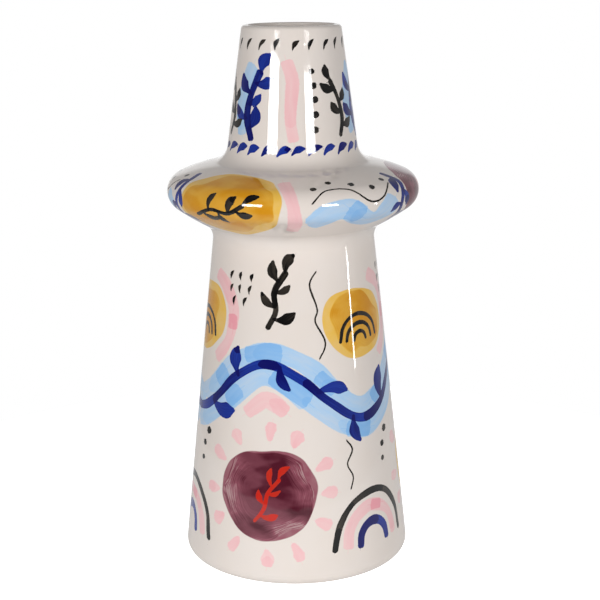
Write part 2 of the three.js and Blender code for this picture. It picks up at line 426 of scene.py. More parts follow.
def place(angle, height):
    """The spot at an angle in degrees and a height in mm."""
    return Spot(angle, level_at(height * MM))


def moved(spot, x, y):
    """The spot x mm to the right and y mm up the wall."""
    level = spot.level + y
    return Spot(spot.angle + degrees(x / radius_on(level)), level)


def on_wall(spot, x, y):
    """The wall's points in mm and its normals, x mm to the right of a spot and y mm up."""
    radii, heights, out, up = (interpolated(spot.level + y, outer_levels, outer) / (MM, MM, 1, 1)).T
    angles = radians(spot.angle) + x / radii
    return round_the_axis(radii, heights, angles), round_the_axis(out, up, angles)


def smooth_route(knots, closed=False):
    """Points along a smooth curve through the knots."""
    knots = np.array(knots, float)
    if closed:
        padded = np.concatenate([knots[-1:], knots, knots[:2]])
    else:
        padded = np.concatenate([2 * knots[:1] - knots[1:2], knots, 2 * knots[-1:] - knots[-2:-1]])
    route = []
    for a, b, c, d in zip(padded, padded[1:], padded[2:], padded[3:]):
        count = max(FEWEST_ROUTE_STEPS, ceil(np.linalg.norm((c - b)[:2]) / ROUTE_STEP))
        t = np.arange(count)[:, None] / count
        bend = (2 * a - 5 * b + 4 * c - d) * t**2 + (3 * b - a - 3 * c + d) * t**3
        route.append(0.5 * (2 * b + (c - a) * t + bend))
    if not closed:
        route.append(knots[-1:])
    return np.concatenate(route)


def brush(layer, spot, knots):
    """One stroke through knots (x, y, half-width), measured from a spot."""
    route = smooth_route(knots)
    points, normals = on_wall(spot, route[:, 0], route[:, 1])
    tangents = unit(np.gradient(points, axis=0))
    sides = np.cross(tangents, normals)
    along = ways(points)
    seed = (len(strokes[layer]) * SEED_STEP) % 1
    phases = [along / length + SEED_TURN * seed + index for index, length in enumerate(WAVER_LENGTHS)]
    slow, quick = np.sin(phases)
    points += WAVER * sides * (slow + 0.5 * quick)[:, None]
    halves = np.maximum(route[:, 2] * (1 + SWELL * (slow - quick)), THINNEST)
    strokes[layer].append(Stroke(points, sides, tangents, halves, along, seed))


def patch(layer, spot, knots):
    """A filled shape inside a closed curve through knots (x, y), measured from a spot."""
    seed = ((1 + len(patches[layer])) * SEED_STEP) % 1
    patches[layer].append((spot, smooth_route(knots, closed=True), seed))


def batches(places, line, margin):
    """The numbers of the places in a box round a line, a batch at a time."""
    low = line.min(axis=0) - margin
    high = line.max(axis=0) + margin
    near = np.flatnonzero(((places > low) & (places < high)).all(axis=1))
    return [near[first : first + BATCH] for first in range(0, len(near), BATCH)]


def nearest_on(places, starts, ends):
    """For each place: its gap to the nearest of some segments, and where on them that is."""
    steps = ends - starts
    offsets = places[:, None] - starts
    share = np.clip((offsets * steps).sum(axis=2) / (steps**2).sum(axis=1), 0, 1)
    gaps = np.linalg.norm(offsets - share[:, :, None] * steps, axis=2)
    part = gaps.argmin(axis=1)
    rows = np.arange(len(places))
    return gaps[rows, part], part + share[rows, part]


def no_paint(count):
    return np.full((count, 3), (FAR, 0.0, 0.0))


def stroke_fields(layer, points):
    """(across, along, half-width) and (distance, way past the end, seed) of each point's nearest stroke."""
    course = no_paint(len(points))
    reach = no_paint(len(points))
    nearest = course[:, 0].copy()
    for stroke in strokes[layer]:
        margin = stroke.halves.max() + REACH
        index = np.arange(len(stroke.along))
        for some in batches(points, stroke.points, margin):
            gap, way = nearest_on(points[some], stroke.points[:-1], stroke.points[1:])
            half = np.interp(way, index, stroke.halves)
            better = (gap - half < nearest[some]) & (gap < margin)
            some, gap, way, half = some[better], gap[better], way[better], half[better]
            nearest[some] = gap - half
            end = np.where(way < len(index) / 2, 0, index[-1])
            forward = np.where(end == 0, -1, 1)
            past_end = forward * ((points[some] - stroke.points[end]) * stroke.tangents[end]).sum(axis=1)
            beyond = (past_end > 0) & ((way < 1) | (way > index[-1] - 1))
            centre = interpolated(way, index, stroke.points)
            lateral = ((points[some] - centre) * interpolated(way, index, stroke.sides)).sum(axis=1)
            across = np.where(beyond, lateral, np.sign(lateral) * gap)
            seeds = np.full(len(some), stroke.seed)
            course[some] = np.stack([across, np.interp(way, index, stroke.along), half], axis=1)
            reach[some] = np.stack([gap, np.where(beyond, past_end, 0), seeds], axis=1)
    return course, reach


def patch_fields(layer, points):
    """For each point: (distance outside the nearest patch, x and y shifted by the patch's seed)."""
    field = no_paint(len(points))
    angles = np.arctan2(points[:, 0], -points[:, 1])
    levels = np.interp(points[:, 2] * MM, outer[:, 1], outer_levels)
    for spot, outline, seed in patches[layer]:
        turn = (angles - radians(spot.angle) + pi) % (2 * pi) - pi
        places = np.stack([turn * radius_on(levels), levels - spot.level], axis=1)
        ends = np.roll(outline, -1, axis=0)
        run, rise = (ends - outline).T
        for some in batches(places, outline, REACH):
            gap, way = nearest_on(places[some], outline, ends)
            x, y = places[some].T[:, :, None]
            straddles = (outline[:, 1] > y) != (ends[:, 1] > y)
            meets = outline[:, 0] + (y - outline[:, 1]) * run / np.where(rise == 0, 1, rise)
            inside = (straddles & (x < meets)).sum(axis=1) % 2 == 1
            distance = np.where(inside, -gap, gap)
            better = distance < field[some, 0]
            some = some[better]
            field[some] = np.column_stack([distance[better], places[some] + FAR * seed])
    return field


def decorate(mesh, painted):
    """Gives a mesh's painted points, which come first, the coordinates of the brush work near them."""
    count = len(mesh.vertices)
    points = np.zeros(count * 3)
    mesh.vertices.foreach_get("co", points)
    points = points.reshape(-1, 3)[:painted] / MM
    fields = {layer: patch_fields(layer, points) for layer in patches}
    for layer in strokes:
        fields[layer + "_course"], fields[layer + "_reach"] = stroke_fields(layer, points)
    for name, field in fields.items():
        vectors = np.concatenate([field, no_paint(count - painted)], dtype=np.float32).ravel()
        mesh.attributes.new(name, "FLOAT_VECTOR", "POINT").data.foreach_set("vector", vectors)
    unpainted = (np.arange(count) >= painted).astype(np.float32)
    mesh.attributes.new("unpainted", "FLOAT", "POINT").data.foreach_set("value", unpainted)


# Brush work. Directions are in degrees from the right, and sizes in mm.
# A leaf is a brush set down, pressed and lifted: how far along, and how hard it is pressed.
LEAF_PRESS = [(0, 0.25), (0.22, 0.52), (0.52, 1.0), (0.78, 0.9), (1.0, 0.3)]
PETAL_PRESS = [(0, 0.3), (0.2, 0.6), (0.45, 0.86), (0.7, 1.0), (0.88, 0.93), (1.0, 0.72)]
LINE_PRESS = [0.92, 1.0, 0.95, 1.05, 0.97, 1.03]
PRESS_UNEVEN = 0.14
LEAF_BEND = 0.15
PETAL_BEND = 0.05
LEAF_SPREAD = 50  # degrees between a leaf and its stem
DAB_OVERLAP = (0.1, 0.55)
DAB_DRIFT = 0.8
DAB_KNOTS = 5
ARCH_KNOTS = 7
PEBBLE_KNOTS = 12
SPIRAL_CORE = 4.5
SPIRAL_KNOTS = 8  # in each turn


def rotated(x, y, angle):
    turn = radians(angle)
    return x * cos(turn) - y * sin(turn), x * sin(turn) + y * cos(turn)


def varied(number, low, high):
    """A value between two others that changes irregularly with the number."""
    return low + (high - low) * (number * SEED_STEP % 1)


def uneven(number, share):
    """A factor near 1 that changes irregularly with the number."""
    return varied(number, 1 - share, 1 + share)


def on_layer(colour, number):
    """One of a colour's two layers, by turns, so that neighbouring strokes can overlap."""
    return colour + ("_b" if number % 2 else "_a")


def along_course(course, share):
    """The point at a share of a course, and the heading there in degrees."""
    route = smooth_route(course)
    marks = ways(route)
    way = share * marks[-1]
    x, y = interpolated(way, marks, route).tolist()
    after = min(np.searchsorted(marks, way, side="right"), len(route) - 1)
    return x, y, degrees(heading(route[after - 1], route[after]))


def beside(course, offset, start=0.0, end=1.0, count=9):
    """A course to the left of another by an offset, between two shares of it."""
    shifted = []
    for share in np.linspace(start, end, count):
        x, y, turn = along_course(course, share)
        aside, up = rotated(offset, 0, turn + 90)
        shifted.append((x + aside, y + up))
    return shifted


def round_course(half_width, half_height, first, last):
    """Part of an oval, from one direction to another."""
    turns = np.radians(np.linspace(first, last, ARCH_KNOTS))
    return [(half_width * cos(turn), half_height * sin(turn)) for turn in turns]


def line(layer, spot, course, half):
    """A long stroke, with the small changes of a loaded brush."""
    brush(layer, spot, [(x, y, half * press) for (x, y), press in zip(course, LINE_PRESS * len(course))])


def dabs(colour, spot, course, half, length):
    """A wide band of overlapping dabs."""
    count = max(1, round(ways(smooth_route(course))[-1] / length))
    for number in range(count):
        start = max(0, number - varied(number + 1, *DAB_OVERLAP)) / count
        drift = varied(number + 1, -DAB_DRIFT, DAB_DRIFT)
        dab = beside(course, drift, start, (number + 1) / count, DAB_KNOTS)
        line(on_layer(colour, number), spot, dab, half * uneven(number + 2, 0.08))


def leaf(layer, spot, direction, length, half, bend=LEAF_BEND, presses=LEAF_PRESS):
    """A leaf that grows from a spot in a direction, bent to its left."""
    knots = []
    for index, (share, press) in enumerate(presses):
        x, y = rotated(share * length, bend * length * sin(pi * share), direction)
        knots.append((x, y, press * half * uneven(len(strokes[layer]) + index, PRESS_UNEVEN)))
    brush(layer, spot, knots)


def dots(layer, spot, course, count, first_half, last_half):
    """Dots along a course, from one size to another."""
    for share in np.linspace(0, 1, count):
        x, y, turn = along_course(course, share)
        half = first_half + share * (last_half - first_half)
        brush(layer, moved(spot, x, y), [(-0.5, -0.1, half), (0.5, 0.2, half)])


def leaves(layer, spot, course, leaf_length, leaf_half, count):
    """Leaves along a stem, by turns left and right."""
    for number in range(count):
        x, y, turn = along_course(course, (number + 0.8) / (count + 0.6))
        side = 1 if number % 2 else -1
        direction = turn + side * uneven(number + count, 0.2) * LEAF_SPREAD
        size = uneven(number + 3, 0.15)
        leaf(layer, moved(spot, x, y), direction, leaf_length * size, leaf_half * size, side * LEAF_BEND)


def branch(colour, spot, course, half, leaf_length, leaf_half, count):
    """A stem with leaves on both sides and one at its tip."""
    line(colour + "_a", spot, course, half)
    leaves(colour + "_b", spot, course, leaf_length, leaf_half, count)
    x, y, turn = along_course(course, 1)
    leaf(colour + "_b", moved(spot, x, y), turn, leaf_length, leaf_half)


def petals(colour, spot, count, inner_radius, length, half):
    """Petals that stand round a place."""
    for number in range(count):
        turn = 90 + 360 * number / count + varied(number, -4, 4)
        start = moved(spot, *rotated(inner_radius, 0, turn))
        reach = length * varied(number + 1, 0.85, 1.1)
        leaf(on_layer(colour, number), start, turn, reach, half, PETAL_BEND, PETAL_PRESS)


def spiral(layer, spot, radius, turns, first, half):
    """A line that winds in, from a first direction."""
    knots = []
    for share in np.linspace(0, 1, round(turns * SPIRAL_KNOTS) + 1):
        x, y = rotated(radius + (SPIRAL_CORE - radius) * share, 0, first + 360 * turns * share)
        knots.append((x, y, half * (1 - 0.2 * share)))
    brush(layer, spot, knots)


def pebble(colour, spot, half_width, half_height, tilt, lump, narrowing=0.0):
    """A filled round shape, a little uneven, and narrower at top and bottom if wanted."""
    knots = []
    for turn in np.linspace(0, 2 * pi, PEBBLE_KNOTS, endpoint=False):
        swell = 1 + lump * cos(2 * turn + radians(tilt)) + 0.6 * lump * sin(3 * turn)
        x = half_width * swell * cos(turn) * (1 - narrowing * sin(turn) ** 2)
        knots.append(rotated(x, half_height * swell * sin(turn), tilt))
    patch(colour, spot, knots)


def dashes(spot, rows, spacing, length, half, slant):
    """Rows of short slanted dashes. Each row is how many it holds."""
    for row, count in enumerate(rows):
        for number in range(count):
            x = (number - (count - 1) / 2) * spacing
            turn = slant + varied(number + 2 * row, -14, 14)
            leaf("black_a", moved(spot, x, -row * spacing), turn, length, half)


# The decoration is laid out three times round the vase, with changed colours.
REPEATS = 3
REPEAT_ANGLE = 360 / REPEATS

# The garland: a leafy stem between two pale bands, which waves round the body
GARLAND_CREST = -16
GARLAND_HEIGHT = 142
GARLAND_SWING = 22
GARLAND_START = -60  # from the first crest
GARLAND_SWEEP = 363  # so that its end passes its start
GARLAND_KNOTS = 28
GARLAND_LEAVES = 15


def paint_garland():
    spot = place(GARLAND_CREST, GARLAND_HEIGHT)
    course = []
    for turn in np.linspace(GARLAND_START, GARLAND_START + GARLAND_SWEEP, GARLAND_KNOTS):
        y = GARLAND_SWING * cos(radians(turn * REPEATS))
        course.append((radians(turn) * radius_on(spot.level + y), y))
    for offset, length in ((9, 52), (-9, 62)):
        dabs("blue", spot, beside(course, offset, count=GARLAND_KNOTS), half=6.8, length=length)
    line("navy_a", spot, course, half=3.3)
    leaves("navy_b", spot, course, leaf_length=21, leaf_half=4.8, count=GARLAND_LEAVES)
    for turn in range(REPEATS):
        middle = (turn * REPEAT_ANGLE - GARLAND_START) / GARLAND_SWEEP
        dabs("pink", spot, beside(course, -25, middle - 0.07, middle + 0.06), half=5.8, length=44)


def stone(colour, spot, half_width, half_height, tilt):
    """A pebble with an ornament: a coral spray on plum, and a black spiral or arches on mustard."""
    pebble(colour, spot, half_width, half_height, tilt, lump=0.05)
    if colour == "plum":
        spray = [(-9, -20), (-2, -10), (1, 2), (9, 12)]
        branch("coral", spot, spray, half=1.4, leaf_length=12, leaf_half=2.3, count=4)
    elif half_height > 30:
        spiral("black_a", spot, radius=21, turns=1.7, first=200, half=1.8)
    else:
        middle = moved(spot, 1, -half_height / 2)
        for number, radius in enumerate((6, 12.5, 19)):
            line(on_layer("black", number), middle, round_course(radius, radius, 4, 176), half=1.4)


def paint_body():
    paint_garland()
    stones = [("plum", "mustard"), ("mustard", "plum"), ("plum", "mustard")]
    for turn, (low_colour, high_colour) in enumerate(stones):
        crest = GARLAND_CREST + turn * REPEAT_ANGLE
        trough = crest + REPEAT_ANGLE / 2
        low = place(crest, 68)
        stone(low_colour, low, 36, 36, tilt=12 - 20 * turn)
        petals("pink", low, count=12, inner_radius=41, length=12, half=4.6)

        high = place(trough, 190)
        stone(high_colour, high, 30, 27, tilt=16 * turn - 14)
        dabs("pink", high, round_course(39, 36, -50, 65), half=5, length=44)

        arch_foot = place(trough, 24)
        line("black_a", arch_foot, round_course(35, 40, 2, 178), half=2.5)
        dabs("pink", arch_foot, round_course(25, 29, 4, 176), half=4.2, length=36)
        line("navy_a", arch_foot, round_course(14, 17, 4, 176), half=3.2)

        reed = [(-7, 0), (-2, 12), (-3, 26), (4, 40)]
        branch("black", place(crest + 6, 190), reed, half=2.2, leaf_length=14, leaf_half=3.4, count=4)
        dashes(place(crest - 22, 222), (3, 3, 2), spacing=9, length=6, half=1.3, slant=80)
        tendril = [(0, 0), (4, -8), (-1, -18), (3, -28), (0, -37)]
        line("black_b", place(crest + 46, 106), tendril, half=0.6)
        tendril = [(0, 0), (-5, -10), (0, -27), (-2, -36), (4, -52), (0, -63)]
        line("black_b", place(crest + 31, 230), tendril, half=0.6)
        dots("black_a", place(crest - 43, 106), [(0, 0), (-5, -10), (-6, -22)], 3, 2.6, 2.0)


def paint_collar():
    edge_level = level_at(COLLAR_HEIGHT)
    for turn, colour in enumerate(["mustard", "plum", "mustard"]):
        angle = turn * REPEAT_ANGLE - 32
        middle = Spot(angle, edge_level)
        pebble(colour, middle, 43, 37, tilt=6 - 8 * turn, lump=0.03, narrowing=0.42)
        ornament = "coral" if colour == "plum" else "black"
        stem = [(-24, -9), (-10, -3), (4, -5), (16, 2)]
        branch(ornament, middle, stem, half=1.5, leaf_length=13, leaf_half=2.6, count=5)

        ripple = Spot(angle - 60, edge_level - 6)
        wave = [(-30, -7), (-18, 2), (-4, 3), (10, -7), (22, -6), (34, 6)]
        dabs("blue", ripple, wave, half=8.5, length=34)
        wave = [(-32, 9), (-20, 19), (-3, 19), (12, 9), (24, 10), (34, 20)]
        line("black_b", ripple, wave, half=0.6)
        dots("black_a", ripple, [(-28, 21), (-14, 28), (3, 24), (18, 19), (30, 26)], 5, 2.0, 2.0)

        frond = Spot(angle - 31, edge_level + 26)
        stem = [(0, 0), (3, -14), (-2, -30), (2, -48)]
        branch("navy", frond, stem, half=2.4, leaf_length=13, leaf_half=3.4, count=4)
        band = [(0, 0), (3, 16), (0, 32), (-4, 48)]
        dabs("pink", Spot(angle + 31, edge_level - 24), band, half=4.8, length=34)


LAUREL_LEAVES = 26
RIM_DASHES = 20


def paint_neck():
    for number in range(LAUREL_LEAVES):
        spot = place(360 * number / LAUREL_LEAVES, 311)
        leaf("navy_b", spot, direction=28, length=11 * uneven(number, 0.1), half=2.6)
    for number in range(RIM_DASHES):
        spot = place(360 * number / RIM_DASHES, 384)
        leaf("black_a", spot, direction=62 + varied(number, -10, 10), length=8, half=1.5)
    for turn in range(REPEATS):
        angle = turn * REPEAT_ANGLE - 40
        spray = place(angle, 322)
        dabs("blue", spray, [(-9, 4), (-12, 20), (-9, 36), (-2, 50)], half=6, length=40)
        stem = [(0, 0), (-5, 14), (-3, 30), (5, 46)]
        branch("navy", spray, stem, half=3.0, leaf_length=15, leaf_half=4.0, count=5)
        band = [(0, 0), (-3, 18), (-1, 36), (-5, 54)]
        dabs("pink", place(angle + 42, 322), band, half=4.6, length=40)
        stem = [(0, 0), (4, 12), (1, 26), (-4, 38)]
        branch("black", place(angle + 87, 324), stem, half=2.0, leaf_length=12, leaf_half=3.0, count=4)
        dots("black_b", place(angle + 61, 328), [(0, 0), (1, 18), (-1, 42)], 5, 2.5, 1.9)


class Value(namedtuple("Value", "graph socket")):
    """A value in a shader, with operators and the nodes that work on it."""

    def math(self, operation, other=0.0, clamp=False):
        return self.graph.output(0, "Math", {0: self, 1: other}, operation=operation, use_clamp=clamp)

    __add__ = partialmethod(math, "ADD")
    __sub__ = partialmethod(math, "SUBTRACT")
    __mul__ = partialmethod(math, "MULTIPLY")
    __truediv__ = partialmethod(math, "DIVIDE")

    def __rsub__(self, other):
        return self * -1.0 + other

    def ramp(self, low, high):
        """A smooth step from 0 to 1 as the value goes from low to high."""
        inputs = {"Value": self, "From Min": low, "From Max": high}
        return self.graph.output(0, "MapRange", inputs, interpolation_type="SMOOTHSTEP")

    def mix(self, first, second):
        """A colour between two colours, as far on as the value says."""
        return self.graph.output(2, "Mix", {0: self, 6: first, 7: second}, data_type="RGBA")

    def split(self):
        return [Value(self.graph, socket) for socket in self.graph.node("SeparateXYZ", {0: self}).outputs]

    def scaled(self, *factors):
        return self.graph.output(0, "VectorMath", {0: self, 1: factors}, operation="MULTIPLY")

    def noise(self, scale=1.0, detail=2.0, roughness=0.5):
        inputs = {"Vector": self, "Scale": scale, "Detail": detail, "Roughness": roughness}
        return self.graph.output("Fac", "TexNoise", inputs)


class Graph:
    """Adds nodes to the shader of a material or the world."""

    def __init__(self, tree):
        self.tree = tree
        tree.nodes.clear()

    def node(self, kind, inputs, **settings):
        made = self.tree.nodes.new("ShaderNode" + kind)
        for name, value in settings.items():
            setattr(made, name, value)
        for name, value in inputs.items():
            if isinstance(value, Value):
                self.tree.links.new(value.socket, made.inputs[name])
            else:
                made.inputs[name].default_value = value
        return made

    def output(self, name, kind, inputs={}, **settings):
        """One output of a new node."""
        return Value(self, self.node(kind, inputs, **settings).outputs[name])

    def attribute(self, name, output="Vector"):
        return self.output(output, "Attribute", attribute_name=name)

    def join(self, x, y, z):
        return self.output(0, "CombineXYZ", {0: x, 1: y, 2: z})


def screen(red, green, blue):
    """A colour given as it looks on a screen, 0 to 255."""
    shares = np.array([red, green, blue]) / 255
    linear = np.where(shares <= 0.04045, shares / 12.92, ((shares + 0.055) / 1.055) ** 2.4)
    return (*linear.tolist(), 1.0)


GROUND = screen(233, 224, 217)
GROUND_WARM = screen(232, 222, 214)
LINING = screen(221, 212, 205)
SPECK = screen(150, 128, 108)
CLAY = screen(214, 202, 186)
CLAY_DARK = screen(184, 170, 152)

# A brush's load: how far its edge frays and blurs in mm, a stroke's end over its half-width, the coats at
# first and those lost before the next dip, mm between dips, streaks and how close they are, and pooling
Load = namedtuple("Load", "fray softness blunt start loss period streaks hairs pool")

# How a patch is filled: mm of rim with one coat only, and how strong brush marks and bristles are
Fill = namedtuple("Fill", "rim marks bristles")

# The paints in the order in which they are laid, each as one coat shows it and as two do
PAINTS = [
    ("blue", (174, 208, 240), (136, 186, 236), Load(0.9, 0.9, 0.4, 1.1, 0.3, 60.0, 0.7, 0.3, 0.1)),
    ("pink", (243, 203, 203), (240, 164, 174), Load(1.1, 1.1, 0.4, 1.3, 0.3, 60.0, 0.7, 0.3, 0.1)),
    ("mustard", (236, 190, 84), (214, 146, 22), Fill(6.0, 0.35, 0.25)),
    ("plum", (148, 84, 98), (80, 22, 38), Fill(1.2, 0.42, 1.25)),
    ("navy", (34, 64, 168), (13, 16, 98), Load(0.3, 0.35, 0.8, 2.1, 0.8, 85.0, 1.0, 0.8, 0.2)),
    ("black", (82, 74, 66), (17, 16, 16), Load(0.45, 0.3, 0.9, 2.1, 0.5, 30.0, 1.0, 1.0, 0.0)),
    ("coral", (178, 58, 42), (200, 38, 26), Load(0.5, 0.4, 0.9, 2.1, 0.5, 30.0, 1.0, 1.0, 0.0)),
]

# How strokes lie, in mm, and scales of noise along and across them, per mm
FRAY_SCALE = 0.7
GUARD = 0.9
SEED_SPREAD = 97.0
END_HAIRS = 0.45
DRIFT_SCALE = 0.02
DRIFT = 1.6
STREAK_SCALE = 0.045
BOW = 0.3
POOL_WIDTH = (0.9, 0.1)

# How patches lie, in the same units
EDGE_SCALE = 0.035
EDGE_WANDER = 7.0
EDGE_SOFTNESS = 0.4
INSET_SCALE = 0.03
INSET_WANDER = 30.0
INSET_SOFTNESS = 0.6
ROW_WANDER = 14.0
MARK_SCALE = (0.03, 0.06, 0.0)
MARK_STEP = (0.42, 0.58)
HAIR_SCALE = (1.3, 0.06, 0.06)
HAIR_NOISE = (1.0, 3.0, 0.65)
HAIR_STEP = (0.34, 0.66)
DRY_SCALE = 0.028
DRY_STEP = (0.38, 0.54)
DRY_RIM = (-24.0, -5.0)
BLOTCH_SCALE = 0.07
BLOTCH = 0.5
FIRST_COAT = 0.95
SECOND_COAT = 0.85
LEAST_COAT = 0.75


def stroke_coats(graph, layer, load):
    """How many coats a layer's strokes lay at a point, with noise that follows the brush."""
    across, along, half = graph.attribute(layer + "_course").split()
    clear, past_end, seed = graph.attribute(layer + "_reach").split()
    shift = seed * SEED_SPREAD
    along = along + shift
    course = graph.join(along, across, shift)
    width = half + (course.noise(FRAY_SCALE) - 0.5) * load.fray
    ragged = course.scaled(0, END_HAIRS, 1).noise() + 0.5
    share = past_end * ragged / (width * load.blunt)
    inside = width * (1.0 - share * share).math("SQRT") - across.math("ABSOLUTE")
    mask = inside.ramp(-load.softness / 2, load.softness / 2) * clear.math("LESS_THAN", width + GUARD)

    drift = course.scaled(DRIFT_SCALE, 0, 1).noise(detail=1.0) * DRIFT
    fade = ((along - across * across * BOW) / load.period + drift).math("FRACT")
    streak = course.scaled(STREAK_SCALE, load.hairs, 1).noise(detail=3.0) - 0.5
    pool = inside.ramp(*POOL_WIDTH) * load.pool
    return mask * (fade * -load.loss + load.start + streak * load.streaks + pool)


def patch_coats(graph, layer, fill):
    """How many coats a colour's patches lay: one, and inside it a second with the brush's marks."""
    distance, x, y = graph.attribute(layer).split()
    spot = graph.join(x, y, 0.0)
    wander = spot.noise(EDGE_SCALE, 1.0) - 0.5
    mask = (distance + wander * EDGE_WANDER).ramp(EDGE_SOFTNESS, -EDGE_SOFTNESS)
    inset = distance + (spot.noise(INSET_SCALE, 1.0) - 0.5) * INSET_WANDER
    second = inset.ramp(INSET_SOFTNESS - fill.rim, -INSET_SOFTNESS - fill.rim)

    rows = y + wander * ROW_WANDER
    mark = graph.join(x, rows, 0.0).scaled(*MARK_SCALE).noise().ramp(*MARK_STEP) - 0.5
    hair = graph.join(inset, x, rows).scaled(*HAIR_SCALE).noise(*HAIR_NOISE).ramp(*HAIR_STEP)
    dry = spot.noise(DRY_SCALE, 1.0).ramp(*DRY_STEP) * distance.ramp(*DRY_RIM)
    bare = dry * (hair * 0.75 + 0.25)
    blotch = (spot.noise(BLOTCH_SCALE, 3.0) - 0.5) * BLOTCH
    coats = (mark * fill.marks + SECOND_COAT - bare * fill.bristles) * second + FIRST_COAT + blotch
    return mask * coats.math("MAXIMUM", LEAST_COAT)


# The surfaces, with scales of noise per metre
PAINTED = "painted_glaze"
LINED = "lining_glaze"
BARE = "bare_clay"
GLAZE_ROUGHNESS = 0.04
SMEAR = 0.03
LINED_ROUGHNESS = 0.08
BARE_ROUGHNESS = 0.72
GLAZE_BUMP = 0.16 * MM
GLAZE_IOR = 1.5
BARE_LEVEL = 0.6 * MM
CLOUD_SCALE = 26.0
CLOUD_STEP = (0.35, 0.65)
SPECK_SCALE = 75.0
SPECK_STEP = (0.03, 0.015)
SPECK_STRENGTH = 0.55
SPARSE_SCALE = 60.0
SPARSE_STEP = (0.54, 0.6)
SMEAR_SCALE = 55.0
FLOW_SCALE = 34.0
PEEL_SCALE = 330.0
PEEL = 0.018
LINING_SCALE = 40.0
LINING_FLOW_SCALE = 90.0
LINING_BUMP = 0.3 * MM
LINING_ROUGHNESS = 0.1
LINING_UNEVEN = 0.12
GRAIN = (900.0, 3.0, 0.7)
GRAIN_BUMP = 0.6
RING_PHASE = 2600.0
RING_WANDER_SCALE = 30.0
RING_WANDER = 3.0
RING_TINT = 0.12
RING_BUMP = 0.25
CLAY_BUMP = 0.2 * MM
CLAY_ROUGHNESS = 0.75
CLAY_UNEVEN = 0.15


def new_material(name):
    """A material, its shader, and where a point of the object is."""
    material = bpy.data.materials.new(name)
    material.use_nodes = True
    graph = Graph(material.node_tree)
    return material, graph, graph.output("Object", "TexCoord")


def finish_material(graph, colour, roughness, height, bump_distance, **surface):
    """Ends a material with its surface shader."""
    bump = graph.output(0, "Bump", {"Height": height, "Distance": bump_distance, "Strength": 1.0})
    inputs = {"Base Color": colour, "Roughness": roughness, "Normal": bump, **surface}
    graph.node("OutputMaterial", {"Surface": graph.output(0, "BsdfPrincipled", inputs)})


def painted_glaze():
    """The outside: warm white ground, paint, clear glaze, and a bare standing face."""
    material, graph, position = new_material(PAINTED)
    colour = position.noise(CLOUD_SCALE, 3.0).ramp(*CLOUD_STEP).mix(GROUND, GROUND_WARM)
    cells = graph.output("Distance", "TexVoronoi", {"Vector": position, "Scale": SPECK_SCALE})
    speck = cells.ramp(*SPECK_STEP) * position.noise(SPARSE_SCALE).ramp(*SPARSE_STEP)
    colour = (speck * SPECK_STRENGTH).mix(colour, SPECK)

    for name, one_coat, two_coats, way in PAINTS:
        if isinstance(way, Fill):
            coats = patch_coats(graph, name, way)
        else:
            coats = stroke_coats(graph, name + "_a", way) + stroke_coats(graph, name + "_b", way)
        colour = coats.math("MINIMUM", 1.0, clamp=True).mix(colour, screen(*one_coat))
        colour = coats.math("SUBTRACT", 1.0, clamp=True).mix(colour, screen(*two_coats))

    unpainted = graph.attribute("unpainted", "Fac")
    bare = position.split()[2].ramp(BARE_LEVEL, BARE_LEVEL / 2) * unpainted
    grain = position.noise(*GRAIN)
    colour = bare.mix(unpainted.mix(colour, LINING), grain.mix(CLAY, CLAY_DARK))
    smear = position.noise(SMEAR_SCALE, 3.0) - 0.5
    roughness = smear * SMEAR + GLAZE_ROUGHNESS + unpainted * LINED_ROUGHNESS + bare * BARE_ROUGHNESS
    surface = position.noise(FLOW_SCALE) + position.noise(PEEL_SCALE) * PEEL + grain * bare * GRAIN_BUMP
    finish_material(graph, colour, roughness, surface, GLAZE_BUMP, IOR=GLAZE_IOR)
    return material


def lining_glaze():
    """The glaze inside: thinner, greyer and cloudy."""
    material, graph, position = new_material(LINED)
    cloud = position.noise(LINING_SCALE, 3.0)
    flow = position.noise(LINING_FLOW_SCALE, 3.0)
    roughness = cloud * LINING_UNEVEN + LINING_ROUGHNESS
    finish_material(graph, cloud.mix(LINING, CLAY), roughness, flow, LINING_BUMP, IOR=GLAZE_IOR)
    return material


def bare_clay():
    """The unglazed underside: matt, grained, and faintly ringed from trimming."""
    material, graph, position = new_material(BARE)
    x, y, z = position.split()
    radius = (x * x + y * y).math("SQRT")
    rings = (radius * RING_PHASE + position.noise(RING_WANDER_SCALE) * RING_WANDER).math("SINE")
    grain = position.noise(*GRAIN)
    colour = (rings * RING_TINT + grain).mix(CLAY, CLAY_DARK)
    roughness = grain * CLAY_UNEVEN + CLAY_ROUGHNESS
    finish_material(graph, colour, roughness, rings * RING_BUMP + grain, CLAY_BUMP)
    return material


paint_body()
paint_collar()
paint_neck()

# The pieces
SECTIONS = [
    ("foot_ring", foot_ring(), PAINTED),
    ("base_floor", base_floor(), BARE),
    ("base_coil", base_coil(), LINED),
    ("lower_body", wall_section(FOOT_SEAM, THROAT_SEAM, low_step=TONGUE_REBATE), PAINTED),
    ("throat_coil", key_coil(THROAT_SEAM), LINED),
    ("collar_underside", wall_section(THROAT_SEAM, COLLAR_HEIGHT), PAINTED),
    ("collar_coil", key_coil(COLLAR_HEIGHT), LINED),
    ("collar_top", wall_section(COLLAR_HEIGHT, NECK_SEAM), PAINTED),
    ("neck_coil", key_coil(NECK_SEAM), LINED),
    ("neck", wall_section(NECK_SEAM, RIM_SEAM, COIL_REBATE, TONGUE_HEIGHT, CLEARANCE), PAINTED),
    ("mouth_rim", mouth_rim(), PAINTED),
]
materials = {PAINTED: painted_glaze(), LINED: lining_glaze(), BARE: bare_clay()}
for node, faces, slot in SECTIONS:
    painted = slot == PAINTED
    piece = turned(node + "_fine", faces, painted)
    piece.data.materials.append(materials[slot])
    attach(piece, "root")
    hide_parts(node)
    if painted:
        decorate(piece.data, len(faces[0]) * COLUMNS)


